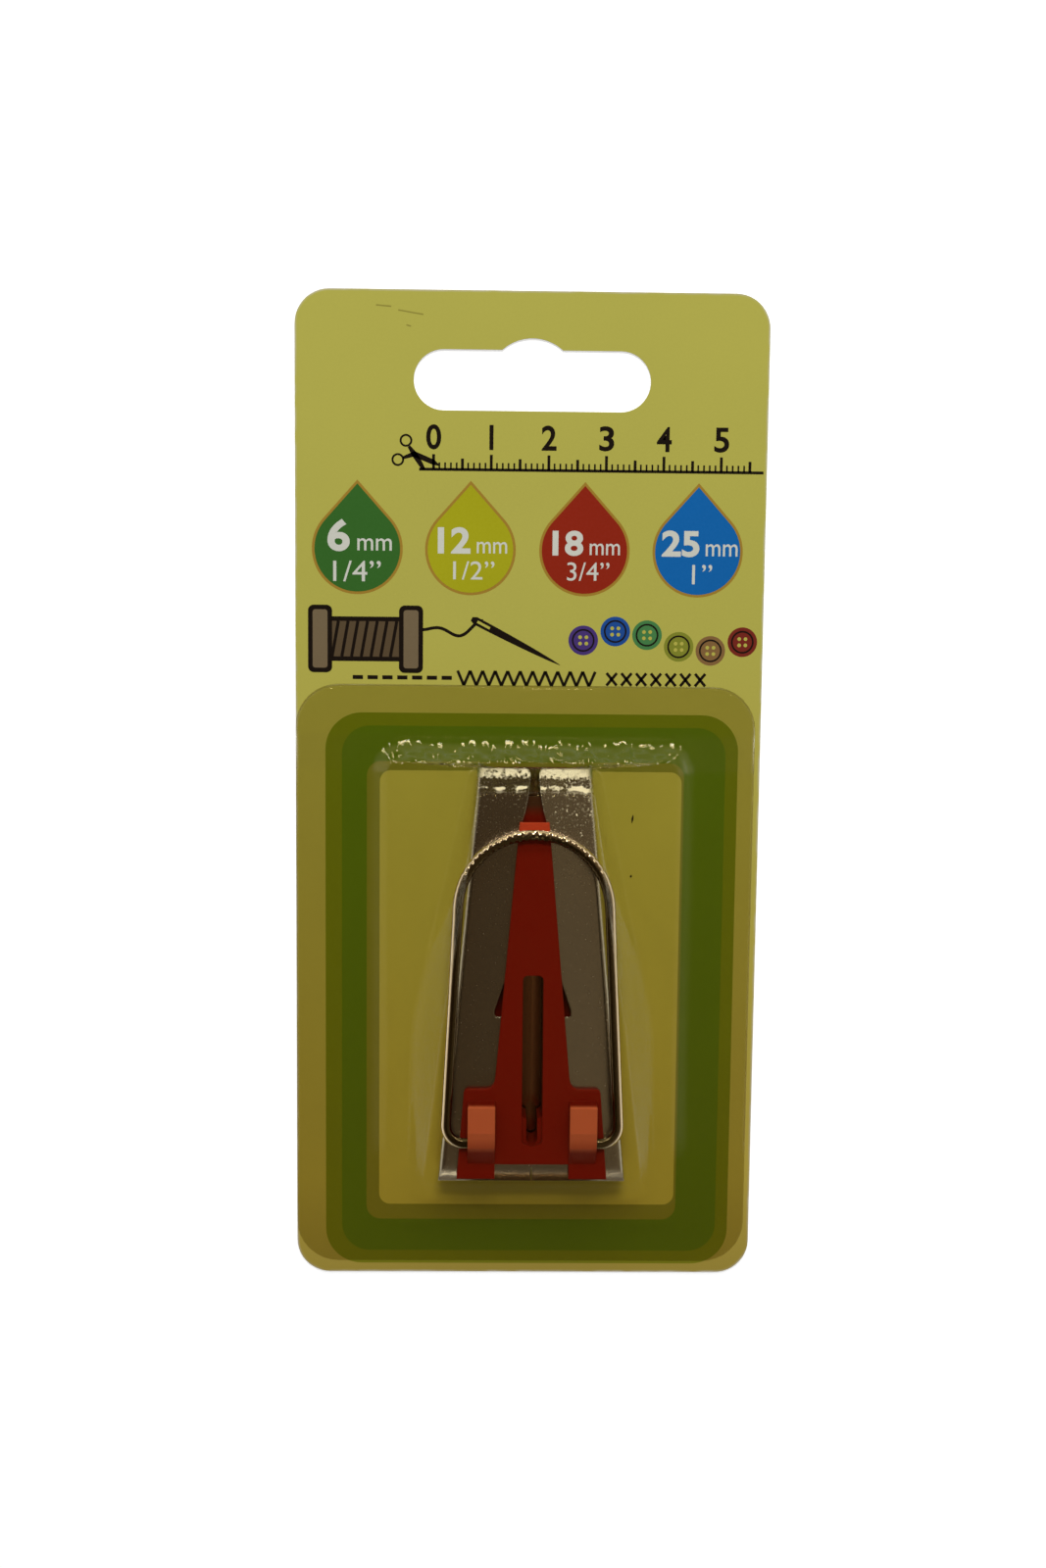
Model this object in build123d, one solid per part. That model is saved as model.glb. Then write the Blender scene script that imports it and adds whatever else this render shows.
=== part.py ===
from build123d import *
import math
import os

# Backing card, in millimetres; the origin is the middle of its back
card_width = 82.0
card_length = 175.0
card_thickness = 0.5
card_corner_radius = 6.0

# Hang slot in the card, with its raised middle for a round peg
hang_slot_length = 41.0
hang_slot_height = 10.4
hang_slot_from_top = 15.2
hang_peg_width = 10.5
hang_peg_rise = 2.0

# Folded steel body, wide at the mouth and narrow at the tip
body_length = 72.9
body_mouth_width = 33.1
body_tip_width = 20.0
body_mouth_height = 8.7
body_tip_height = 3.5
sheet_thickness = 0.5
fold_radius = 1.1
body_offset_x = 1.1
mouth_from_card_bottom = 19.8
body_seat_gap = 0.1
mouth_roll_length = 3.4
mouth_roll_radius = 9.0

# Gap between the two folded flaps, measured from the tip
gap_tip_width = 1.5
gap_flare_width = 4.1
gap_flare_length = 9.1
gap_flare_radius = 34.0
gap_window_width = 13.4
gap_window_start = 36.5
gap_window_end = 43.6
gap_before_window = 9.4
gap_stem_margin = 1.0
gap_seam_width = 0.12
gap_lip_height = 1.2
gap_lip_radius = 0.4
flap_corner_radius = 1.0

# Moulded guide: a bar on the flaps, a stem through the gap and a core inside
bar_start = 9.3
bar_tip_width = 5.2
bar_root_width = 13.0
bar_root_to_plate = 2.3
bar_foot_width = 13.8
bar_thickness = 1.4
plate_length = 16.0
plate_side_margin = 0.7
plate_flare = 1.2
plate_mouth_margin = 0.6
plate_fillet = 1.6
plate_notch_depth = 2.6
guide_edge_radius = 0.25
awl_slot_width = 3.6
awl_slot_start = 36.2
awl_slot_from_mouth = 6.7
awl_step_from_mouth = 11.2
awl_step_width = 1.9
awl_corner_radius = 0.9
stem_wall = 0.8
stem_side_gap = 0.3
stem_tip_inset = 0.5
stem_shoulder_start = 2.5
stem_shoulder_end = 1.0
guide_seat_gap = 0.05
core_start = 5.0
core_nose_length = 4.0
core_side_gap = 1.2
core_clearance = 0.7

# Lugs that hold the wire ends
lug_width = 4.8
lug_from_side = 5.25
lug_back_from_pivot = 7.2
lug_top_length = 4.7
lug_facet_length = 3.0
lug_facet_drop = 0.9
lug_front_length = 3.4
lug_rise = 4.2
pivot_from_mouth = 7.6
pivot_above_plate = 1.15
pin_depth = 3.4
pin_clearance = 0.05
pin_end_gap = 0.15

# Wire bail
wire_diameter = 1.9
bail_pin_reach = 0.65
bail_bend_radius = 3.2
bail_taper = 1.8
bail_past_bar_tip = 1.9
bail_rest_gap = 0.1

# Clear blister: a flange on the card, a low step and a dome over the body
blister_thickness = 0.3
flange_side_margin = 0.5
flange_offset_x = -0.5
flange_from_card_bottom = 2.1
flange_top_margin = 9.7
flange_corner_radius = 7.5
step_tip_ledge = 0.2
step_mouth_ledge = 2.3
step_side_ledge = 2.75
step_offset_x = -0.3
step_wall_run = 4.3
step_headroom = 0.2
step_corner_radius = 5.0
step_top_corner_radius = 2.85
dome_tip_margin = 0.2
dome_mouth_margin = 3.3
dome_tip_side_margin = 1.4
dome_mouth_side_margin = 5.6
dome_bend = 45.0
dome_bend_side_margin = 7.45
dome_corner_radius = 4.0
dome_headroom = 1.0
dome_end_run_tip = 3.2
dome_end_run_mouth = 4.4
dome_side_run_tip = 1.6
dome_side_run_mouth = 3.0
dome_top_radius = 2.6
dome_tip_radius = 1.3
blister_fold_radius = 0.8

# Places worked out from the sizes above
mouth_y = -card_length / 2 + mouth_from_card_bottom
tip_y = mouth_y + body_length
body_bottom_z = card_thickness + body_seat_gap
body_slope = math.atan2(body_mouth_height - body_tip_height, body_length)
tip_top_z = body_bottom_z + body_tip_height
overshoot = 2.0
nearly = 0.01
pivot_place = body_length - pivot_from_mouth
lug_start = pivot_place - lug_back_from_pivot
lug_outer_spacing = body_mouth_width - 2 * lug_from_side
notch_half_width = lug_outer_spacing / 2 - lug_width
plate_end = body_length - plate_mouth_margin
plate_start = plate_end - plate_length
plate_width = lug_outer_spacing + 2 * plate_side_margin
awl_slot_end = body_length - awl_slot_from_mouth
stem_width = awl_slot_width + 2 * stem_wall
stem_end = awl_slot_end + stem_wall
gap_stem_width = stem_width + 2 * stem_side_gap
core_z = body_bottom_z + sheet_thickness + core_clearance
core_thickness = body_tip_height - 2 * sheet_thickness - 2 * core_clearance
bail_leg_half = lug_outer_spacing / 2 + bail_pin_reach + bail_bend_radius
step_tip_margin = dome_tip_margin + step_tip_ledge + step_wall_run
step_mouth_margin = dome_mouth_margin + step_mouth_ledge + step_wall_run


def along(start, end, place):
    """Straight-line value between the tip and the mouth of the body."""
    return start + (end - start) * place / body_length


def half_width(place):
    return along(body_tip_width, body_mouth_width, place) / 2


def top_height(place):
    return body_bottom_z + along(body_tip_height, body_mouth_height, place)


pivot_z = top_height(pivot_place) + bar_thickness + pivot_above_plate


def body_section(place, inset, radius):
    """Rounded rectangle across the body at a distance from its tip."""
    width = 2 * half_width(place) - 2 * inset
    height = along(body_tip_height, body_mouth_height, place) - 2 * inset
    middle = body_bottom_z + inset + height / 2
    across = Plane(origin=(body_offset_x, tip_y - place, middle), x_dir=(1, 0, 0), z_dir=(0, -1, 0))
    return across * RectangleRounded(width, height, radius)


def mirrored_outline(points):
    """Closed face from one side's points, each a half width and a distance from the tip."""
    right = [(half, -place) for half, place in points]
    left = [(-half, -place) for half, place in reversed(points)]
    return make_face(Polyline(*right, *left, close=True))


def round_corners(face, radius, chosen):
    """Fillet the corners of a flat face that the test picks by half width and place."""
    corners = [v for v in face.vertices() if chosen(abs(v.X), -v.Y)]
    return fillet(corners, radius)


def at_width(width):
    """Test for corners at one width of an outline."""
    return lambda half, place: abs(half - width / 2) < nearly


def at_tip(height):
    """Level plane with its origin over the body's tip and its distances running to -Y."""
    return Plane(origin=(body_offset_x, tip_y, height))


def on_flaps(lift):
    """Plane on the sloping flaps, raised square to them by a lift."""
    normal = Vector(0, math.sin(body_slope), math.cos(body_slope))
    return Plane(origin=Vector(body_offset_x, tip_y, tip_top_z) + normal * lift, x_dir=(1, 0, 0), z_dir=normal)


def backing_card():
    """Flat card with a long hang slot, whose top edge bulges for a round peg."""
    outline = RectangleRounded(card_width, card_length, card_corner_radius)
    slot_y = card_length / 2 - hang_slot_from_top
    slot = SlotOverall(hang_slot_length, hang_slot_height)
    peg_radius = (hang_peg_width**2 / 4 + hang_peg_rise**2) / (2 * hang_peg_rise)
    peg = Pos(0, hang_slot_height / 2 + hang_peg_rise - peg_radius) * Circle(peg_radius)
    peg_half = Pos(0, hang_slot_height / 2) * Rectangle(2 * peg_radius, hang_slot_height)
    opening = Pos(0, slot_y) * (slot + (peg & peg_half))
    return extrude(outline - opening, card_thickness)


def flap_gap():
    """Gap between the flaps: a flared tip, a widening run, two windows and a straight run."""
    flare_end = (gap_flare_width / 2, -gap_flare_length)
    flare = RadiusArc(flare_end, (gap_tip_width / 2, 0), gap_flare_radius)
    beyond = -body_length - overshoot
    seam_start = -stem_end - gap_stem_margin
    rest = Polyline(
        flare_end,
        (gap_before_window / 2, -gap_window_start),
        (gap_window_width / 2, -gap_window_end + gap_lip_height),
        (gap_window_width / 2, -gap_window_end),
        (gap_stem_width / 2, -gap_window_end),
        (gap_stem_width / 2, seam_start),
        (gap_seam_width / 2, seam_start),
        (gap_seam_width / 2, beyond),
        (0, beyond),
    )
    start = Polyline((0, overshoot), (gap_tip_width / 2, overshoot), (gap_tip_width / 2, 0))
    closing = Line((0, beyond), (0, overshoot))
    half = round_corners(make_face([start, flare, rest, closing]), gap_lip_radius, at_width(gap_window_width))
    return half + mirror(half, Plane.YZ)


def above_roll(inset):
    """Space over the mouth's top sheet, whose last stretch rolls down on a wide radius."""
    place = body_length - mouth_roll_length
    start = (place, top_height(place) - inset)
    tangent = (math.cos(body_slope), math.sin(body_slope))
    radius = mouth_roll_radius - inset
    turn = math.degrees(2 * (mouth_roll_length + overshoot) / mouth_roll_radius)
    roll = JernArc(start, tangent, radius, -turn / 2)
    ceiling = top_height(body_length) + overshoot
    sides = Polyline(roll @ 1, ((roll @ 1).X, ceiling), (place, ceiling), start)
    side_view = Plane(origin=(0, tip_y, 0), x_dir=(0, -1, 0), z_dir=(-1, 0, 0))
    return extrude(side_view * make_face([roll, sides]), body_mouth_width, both=True)


def is_flap_corner(edge):
    """True for the short upright edges where the gap meets the tip."""
    middle = edge.center()
    at_end = abs(middle.Y - tip_y) < nearly
    near_gap = abs(abs(middle.X - body_offset_x) - gap_tip_width / 2) < gap_tip_width / 4
    return at_end and near_gap and middle.Z > body_bottom_z + body_tip_height / 2


def steel_body():
    """Folded sheet: a tapered tube with the gap of its two flaps cut from the top."""
    outer = loft([body_section(0, 0, fold_radius), body_section(body_length, 0, fold_radius)], ruled=True)
    inner_radius = fold_radius - sheet_thickness
    hollow_ends = [body_section(-overshoot, sheet_thickness, inner_radius)]
    hollow_ends.append(body_section(body_length + overshoot, sheet_thickness, inner_radius))
    hollow = loft(hollow_ends, ruled=True) - above_roll(sheet_thickness)
    shell = outer - above_roll(0) - hollow
    shell = shell - extrude(at_tip(core_z) * flap_gap(), body_mouth_height)
    return fillet(shell.edges().filter_by(is_flap_corner), flap_corner_radius)


def lengthwise_slot(start, end, width):
    """Slot with rounded corners along the body between two distances from the tip."""
    return Pos(0, -(start + end) / 2) * RectangleRounded(width, end - start, awl_corner_radius)


def awl_slot():
    """Slot for the awl: full width through the bar, stepped narrower below it near the mouth."""
    step_place = body_length - awl_step_from_mouth
    wide_slot = lengthwise_slot(awl_slot_start, step_place, awl_slot_width)
    narrow_slot = lengthwise_slot(step_place - awl_slot_width, awl_slot_end, awl_step_width)
    whole_slot = lengthwise_slot(awl_slot_start, awl_slot_end, awl_slot_width)
    through = top_height(body_length) + bar_thickness + overshoot
    below = extrude(at_tip(0) * wide_slot, through) + extrude(at_tip(0) * narrow_slot, through)
    return below + extrude(on_flaps(0) * whole_slot, bar_thickness + overshoot)


def bar_outline():
    """Tapered bar that broadens into the cross plate, notched between the lugs at the mouth."""
    points = [
        (bar_tip_width / 2, bar_start),
        (bar_root_width / 2, plate_start - bar_root_to_plate),
        (bar_foot_width / 2, plate_start),
        (plate_width / 2, plate_start),
        (plate_width / 2 + plate_flare, plate_end),
        (notch_half_width, plate_end),
        (notch_half_width, plate_end - plate_notch_depth),
    ]
    outline = round_corners(mirrored_outline(points), plate_fillet, at_width(bar_foot_width))
    return round_corners(outline, plate_fillet / 2, at_width(plate_width))


def stem_outline():
    """Stem that fills the flap gap apart from its side clearance."""
    tip_half = gap_flare_width / 2 - stem_side_gap
    window_half = gap_before_window / 2 - stem_side_gap
    points = [
        (tip_half, bar_start + stem_tip_inset),
        (window_half, gap_window_start),
        (window_half, gap_window_end - stem_shoulder_start),
        (stem_width / 2, gap_window_end - stem_shoulder_end),
        (stem_width / 2, stem_end),
    ]
    return mirrored_outline(points)


def core_outline():
    """Tongue inside the body that the cloth folds around."""
    inside = sheet_thickness + core_side_gap
    nose_end = core_start + core_nose_length
    points = [
        (gap_tip_width / 2, core_start),
        (half_width(nose_end) - inside, nose_end),
        (half_width(plate_end) - inside, plate_end),
    ]
    return mirrored_outline(points)


def lug_profile():
    """Side view of a lug: upright back, flat top, sloping facet and steeper front."""
    flap_z = top_height(lug_start)
    foot_z = flap_z + guide_seat_gap + bar_thickness / 2
    top_z = flap_z + bar_thickness + lug_rise
    back_y = tip_y - lug_start
    facet_y = back_y - lug_top_length
    front_y = facet_y - lug_facet_length
    toe_y = front_y - lug_front_length
    toe_z = foot_z + math.tan(body_slope) * (back_y - toe_y)
    return [
        (back_y, foot_z),
        (back_y, top_z),
        (facet_y, top_z),
        (front_y, top_z - lug_facet_drop),
        (toe_y, toe_z + bar_thickness / 2),
        (toe_y, toe_z),
    ]


def lug(side):
    """One lug, drawn from the side and as wide as it is across the body."""
    inner_x = body_offset_x + side * notch_half_width
    side_plane = Plane(origin=(inner_x, 0, 0), x_dir=(0, 1, 0), z_dir=(1, 0, 0))
    block = extrude(side_plane * make_face(Polyline(*lug_profile(), close=True)), side * lug_width)
    ridges = block.edges().filter_by(lambda edge: edge.center().Z > top_height(pivot_place) + bar_thickness)
    return fillet(ridges, guide_edge_radius)


def pin_hole(side):
    """Blind hole for a wire end, with the same round space kept free outside the lug."""
    face_x = body_offset_x + side * lug_outer_spacing / 2
    centre = (face_x - side * pin_depth, tip_y - pivot_place, pivot_z)
    across = Plane(origin=centre, x_dir=(0, 1, 0), z_dir=(side, 0, 0))
    return extrude(across * Circle(wire_diameter / 2 + pin_clearance), pin_depth + body_mouth_width / 2)


def plastic_guide():
    """One moulding: bar and plate on the flaps, stem and core below them, two lugs."""
    bar = extrude(on_flaps(guide_seat_gap) * bar_outline(), bar_thickness)
    bar_top = bar.faces().sort_by(SortBy.AREA)[-2:].sort_by(Axis.Z)[-1]
    bar = fillet(bar_top.edges(), guide_edge_radius)
    core = extrude(at_tip(core_z) * core_outline(), core_thickness)
    stem = extrude(at_tip(core_z + core_thickness / 2) * stem_outline(), body_mouth_height + bar_thickness)
    stem = split(stem, on_flaps(guide_seat_gap + bar_thickness / 2), keep=Keep.BOTTOM)
    guide = bar + core + stem + lug(-1) + lug(1)
    return guide - awl_slot() - pin_hole(-1) - pin_hole(1)


def wire_bail():
    """Wire bent in one plane, from its ends in the lugs to the arch that lies on the bar's narrow end."""
    arch_place = bar_start + bail_past_bar_tip
    bar_top_z = top_height(arch_place) + (guide_seat_gap + bar_thickness) / math.cos(body_slope)
    arch_z = bar_top_z + (wire_diameter / 2 + bail_rest_gap) / math.cos(body_slope)
    bail_length = math.hypot(pivot_place - arch_place, pivot_z - arch_z)
    lean = math.asin((pivot_z - arch_z) / bail_length)
    normal = (0, math.sin(lean), math.cos(lean))
    wire_plane = Plane(origin=(body_offset_x, tip_y - pivot_place, pivot_z), x_dir=(1, 0, 0), z_dir=normal)
    arch_radius = bail_leg_half - bail_taper
    arch_y = bail_length - arch_radius
    spread = math.atan2(bail_taper, arch_y - bail_bend_radius)
    spread_deg = math.degrees(spread)
    pin_x = lug_outer_spacing / 2 - pin_depth + pin_end_gap
    arch = CenterArc((0, arch_y), arch_radius, spread_deg, 180 - 2 * spread_deg)
    leg_top = Vector(arch_radius * math.cos(spread), arch_y + arch_radius * math.sin(spread))
    down = Vector(math.sin(spread), -math.cos(spread))
    side = Vector(math.cos(spread), math.sin(spread))
    leg_run = (leg_top.Y + side.Y * -bail_bend_radius - bail_bend_radius) / math.cos(spread)
    leg_foot = leg_top + down * leg_run
    bend_center = leg_foot - side * bail_bend_radius
    pin = Line((pin_x, 0), (bend_center.X, 0))
    bend = CenterArc((bend_center.X, bend_center.Y), bail_bend_radius, -90, 90 + spread_deg)
    leg = Line((leg_foot.X, leg_foot.Y), (leg_top.X, leg_top.Y))
    half = Curve() + [pin, bend, leg]
    path = Wire([*half.edges(), arch.edge(), *mirror(half, Plane.YZ).edges()])
    start = Plane(origin=(pin_x, 0, 0), z_dir=(1, 0, 0))
    return wire_plane * sweep(start * Circle(wire_diameter / 2), path=path)


def dome_outline(inset, top):
    """Outline of the dome at its foot or at its top, narrowing from mouth to tip."""
    tip_half = body_tip_width / 2 + dome_tip_side_margin
    mouth_half = body_mouth_width / 2 + dome_mouth_side_margin
    bend_half = half_width(dome_bend) + dome_bend_side_margin
    tip = -dome_tip_margin
    mouth = body_length + dome_mouth_margin
    mouth_radius = dome_corner_radius
    if top:
        tip_half = tip_half - dome_side_run_tip
        mouth_half = mouth_half - dome_side_run_mouth
        tip = tip + dome_end_run_tip
        mouth = mouth - dome_end_run_mouth
        bend_half = tip_half + (mouth_half - tip_half) * (dome_bend - tip) / (mouth - tip)
        mouth_radius = dome_top_radius
    points = [
        (tip_half - inset, tip + inset),
        (bend_half - inset, dome_bend),
        (mouth_half - inset, mouth - inset),
    ]
    outline = mirrored_outline(points)
    outline = round_corners(outline, dome_tip_radius, lambda half, place: place < dome_bend / 2)
    return round_corners(outline, mouth_radius, lambda half, place: place > (dome_bend + mouth) / 2)


def step_outline(inset, radius):
    """Rounded rectangle of the low step, around the dome's foot."""
    side_margin = dome_mouth_side_margin + step_side_ledge + step_wall_run
    width = body_mouth_width + 2 * side_margin - 2 * inset
    length = body_length + step_tip_margin + step_mouth_margin - 2 * inset
    middle = -(body_length + step_mouth_margin - step_tip_margin) / 2
    return Pos(step_offset_x, middle) * RectangleRounded(width, length, radius)


def blister_form(inset):
    """Closed form of the step and dome, drawn in from the outside by an inset."""
    foot_z = card_thickness + blister_thickness - inset
    step_z = tip_top_z + step_headroom + blister_thickness - inset
    lug_top_z = top_height(lug_start) + bar_thickness + lug_rise
    dome_z = lug_top_z + dome_headroom + blister_thickness - inset
    step_foot = at_tip(foot_z) * step_outline(inset, step_corner_radius - inset)
    step_top = at_tip(step_z) * step_outline(inset + step_wall_run, step_top_corner_radius - inset)
    step = loft([step_foot, step_top])
    step = fillet(step.faces().sort_by(Axis.Z)[-1].edges(), blister_fold_radius + blister_thickness - inset)
    dome_foot = dome_outline(inset, False)
    dome = loft([at_tip(step_z) * dome_foot, at_tip(dome_z) * dome_outline(inset, True)], ruled=True)
    root = extrude(at_tip(step_z) * dome_foot, -blister_thickness)
    return step + dome + root


def clear_blister():
    """Formed sheet: a flange flat on the card, with the step and the dome raised from it."""
    flange_bottom = -card_length / 2 + flange_from_card_bottom
    flange_top = tip_y + step_tip_margin + flange_top_margin
    middle = (flange_top + flange_bottom) / 2
    flange_width = card_width - 2 * flange_side_margin
    flange = RectangleRounded(flange_width, flange_top - flange_bottom, flange_corner_radius)
    sheet = extrude(Pos(flange_offset_x, middle, card_thickness) * flange, blister_thickness)
    return sheet + blister_form(0) - blister_form(blister_thickness)


nodes = {
    "backing_card": backing_card(),
    "steel_body": steel_body(),
    "plastic_guide": plastic_guide(),
    "wire_bail": wire_bail(),
    "clear_blister": clear_blister(),
}

os.makedirs("parts", exist_ok=True)
for name, shape in nodes.items():
    shape.label = name
    export_step(shape, f"parts/{name}.step")
    print(name, len(shape.solids()), round(shape.volume, 2))
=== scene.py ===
import math

import bmesh
import bpy
import numpy as np
from mathutils import Matrix, Vector


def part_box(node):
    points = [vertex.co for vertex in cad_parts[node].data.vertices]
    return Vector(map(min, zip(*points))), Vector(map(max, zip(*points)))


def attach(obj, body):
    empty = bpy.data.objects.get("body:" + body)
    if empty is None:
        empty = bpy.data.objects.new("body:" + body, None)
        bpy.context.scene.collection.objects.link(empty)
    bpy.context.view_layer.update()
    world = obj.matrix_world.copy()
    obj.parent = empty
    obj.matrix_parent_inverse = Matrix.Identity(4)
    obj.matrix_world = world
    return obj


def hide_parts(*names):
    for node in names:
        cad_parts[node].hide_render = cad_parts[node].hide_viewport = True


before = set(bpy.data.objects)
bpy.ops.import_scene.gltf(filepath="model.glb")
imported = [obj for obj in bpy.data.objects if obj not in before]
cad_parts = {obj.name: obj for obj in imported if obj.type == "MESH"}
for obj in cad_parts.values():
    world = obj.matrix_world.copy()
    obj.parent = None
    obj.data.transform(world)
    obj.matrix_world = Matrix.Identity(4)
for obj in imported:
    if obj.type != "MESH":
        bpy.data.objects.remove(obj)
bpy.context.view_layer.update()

# Backing card: 0.5 mm paperboard, die-cut with a hang slot and printed yellow under a thin varnish.
# Its cut edges and its back show the grey-white board. The printed rim is pale in patches: partly wear,
# and partly a painted highlight where the card's edge catches light. The print darkens and warms towards
# its foot, which is painted shade for the light falling off from the card's top.
MM = 0.001
CARD_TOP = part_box("backing_card")[1][2]
CARD_HALF = Vector(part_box("backing_card")[1][:2])
CARD_CORNER = 6 * MM
CARD_RIM = 0.4 * MM
INK_DEPTH = 0.02 * MM
CARD_YELLOW = (172, 166, 70)
CARD_BOARD = (196, 190, 176)
VARNISH_ROUGHNESS = 0.42
BOARD_ROUGHNESS = 0.85
# Waves of the pale rim's patches, which are partly wear and partly a painted highlight.
WORN_AND_LIT_WAVES = 260.0
PRINT_GRAIN = 2200.0
# Painted shade: the print darkens and warms from the card's top to its foot, and the bare print darkens
# more at its foot.
FALLOFF_SHADE_TINT = (1.0, 0.80, 0.60, 1)
FALLOFF_SHADE_RANGE = (30 * MM, -80 * MM)
FOOT_SHADE = 0.8
FOOT_SHADE_RANGE = (-70 * MM, -87 * MM)


def shade(red, green, blue):
    """Linear colour of an 8-bit screen colour: below its toe a straight line, above it a power of 2.4."""
    share = np.array([red, green, blue]) / 255
    linear = np.where(share <= 0.04045, share / 12.92, ((share + 0.055) / 1.055) ** 2.4)
    return (*linear.tolist(), 1.0)


def add(tree, kind, inputs=None, **settings):
    """Puts a node in a tree, sets its properties, and fills its inputs with sockets or plain values."""
    made = tree.nodes.new(kind)
    for name, value in settings.items():
        setattr(made, name, value)
    for name, value in (inputs or {}).items():
        if isinstance(value, bpy.types.NodeSocket):
            tree.links.new(value, made.inputs[name])
        else:
            made.inputs[name].default_value = value
    return made


def calc(tree, operation, first, second=0.0, third=0.0, clamp=False):
    """Output of a Math node over sockets or plain numbers."""
    values = {0: first, 1: second, 2: third}
    return add(tree, "ShaderNodeMath", values, operation=operation, use_clamp=clamp).outputs[0]


def vector(tree, operation, *vectors, scale=None, output="Vector"):
    """Output of a Vector Math node over sockets or plain vectors, and over a scale where it takes one."""
    values = dict(enumerate(vectors))
    if scale is not None:
        values["Scale"] = scale
    return add(tree, "ShaderNodeVectorMath", values, operation=operation).outputs[output]


def axes_of(tree, place):
    """The X, Y and Z sockets of a place."""
    return add(tree, "ShaderNodeSeparateXYZ", {0: place}).outputs


def blend_colour(tree, factor, first, second, mode="MIX"):
    """Output of a Mix Color node: the first colour where the factor is 0 and the second where it is 1."""
    made = add(tree, "ShaderNodeMix", {0: factor, 6: first, 7: second}, data_type="RGBA", blend_type=mode)
    return made.outputs[2]


def spread(tree, value, low, high, new_low, new_high):
    """Clamped straight-line change of a socket's range."""
    inputs = {"Value": value, "From Min": low, "From Max": high, "To Min": new_low, "To Max": new_high}
    return add(tree, "ShaderNodeMapRange", inputs).outputs[0]


def rise(tree, value, start, end):
    """Share that goes from 0, where a socket is at its start, to 1, where it is at its end."""
    return spread(tree, value, start, end, 0.0, 1.0)


def noise(tree, place, scale, detail=2.0, roughness=0.5):
    """Noise factor at a place, with its scale in waves per metre."""
    inputs = {"Vector": place, "Scale": scale, "Detail": detail, "Roughness": roughness}
    return add(tree, "ShaderNodeTexNoise", inputs).outputs["Fac"]


def finish(name, roughness, metallic=0.0):
    """New material: gives the material, its tree, its Principled shader and its Object coordinates."""
    material = bpy.data.materials.new(name)
    material.use_nodes = True
    tree = material.node_tree
    shader = tree.nodes["Principled BSDF"]
    shader.inputs["Roughness"].default_value = roughness
    shader.inputs["Metallic"].default_value = metallic
    place = add(tree, "ShaderNodeTexCoord").outputs["Object"]
    return material, tree, shader, place


def mottle_group():
    """Group that varies a colour in soft patches and fine grain, and gives the grain as a height."""
    group = bpy.data.node_groups.new("mottle", "ShaderNodeTree")
    face = group.interface
    face.new_socket("Color", in_out="INPUT", socket_type="NodeSocketColor")
    for name in ("Patch Scale", "Grain Scale", "Amount"):
        face.new_socket(name, in_out="INPUT", socket_type="NodeSocketFloat")
    face.new_socket("Color", in_out="OUTPUT", socket_type="NodeSocketColor")
    face.new_socket("Height", in_out="OUTPUT", socket_type="NodeSocketFloat")
    given = add(group, "NodeGroupInput").outputs
    place = add(group, "ShaderNodeTexCoord").outputs["Object"]
    patches = noise(group, place, given["Patch Scale"], 3.0)
    grain = noise(group, place, given["Grain Scale"], 2.0)
    both = calc(group, "ADD", calc(group, "MULTIPLY", patches, 0.6), calc(group, "MULTIPLY", grain, 0.4))
    amount = calc(group, "MULTIPLY", given["Amount"], 4.0)
    lift = calc(group, "MULTIPLY_ADD", calc(group, "SUBTRACT", both, 0.5), amount, 1.0)
    lifted = vector(group, "SCALE", given["Color"], scale=lift)
    add(group, "NodeGroupOutput", {"Color": lifted, "Height": grain})
    return group


MOTTLE = mottle_group()


def mottled(tree, colour, patch_scale, grain_scale, amount):
    """Colour and height sockets of the mottle group with these values."""
    inputs = {"Color": colour, "Patch Scale": patch_scale, "Grain Scale": grain_scale, "Amount": amount}
    made = add(tree, "ShaderNodeGroup", inputs, node_tree=MOTTLE)
    return made.outputs["Color"], made.outputs["Height"]


def warmed_group():
    """Group that paints shade on a colour, darker and warmer from the card's top to its foot."""
    group = bpy.data.node_groups.new("falloff_shade_print", "ShaderNodeTree")
    group.interface.new_socket("Color", in_out="INPUT", socket_type="NodeSocketColor")
    group.interface.new_socket("Color", in_out="OUTPUT", socket_type="NodeSocketColor")
    given = add(group, "NodeGroupInput").outputs["Color"]
    along = axes_of(group, add(group, "ShaderNodeTexCoord").outputs["Object"])["Y"]
    # Painted shade, darker and warmer towards the card's foot.
    painted_falloff = blend_colour(group, rise(group, along, *FALLOFF_SHADE_RANGE), (1, 1, 1, 1), FALLOFF_SHADE_TINT)
    add(group, "NodeGroupOutput", {"Color": blend_colour(group, 1.0, given, painted_falloff, "MULTIPLY")})
    return group


FALLOFF_SHADE = warmed_group()


def warmed(tree, colour):
    """Colour socket of the painted shade group."""
    return add(tree, "ShaderNodeGroup", {"Color": colour}, node_tree=FALLOFF_SHADE).outputs["Color"]


def rim_distance(tree, place):
    """How far a point lies inside the card's rounded outline: minus its rounded-box distance."""
    size = vector(tree, "ABSOLUTE", vector(tree, "MULTIPLY", place, (1, 1, 0)))
    inner = (CARD_HALF.x - CARD_CORNER, CARD_HALF.y - CARD_CORNER, 0)
    past = vector(tree, "MAXIMUM", vector(tree, "SUBTRACT", size, inner), (0, 0, 0))
    return calc(tree, "SUBTRACT", CARD_CORNER, vector(tree, "LENGTH", past, output="Value"))


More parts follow.
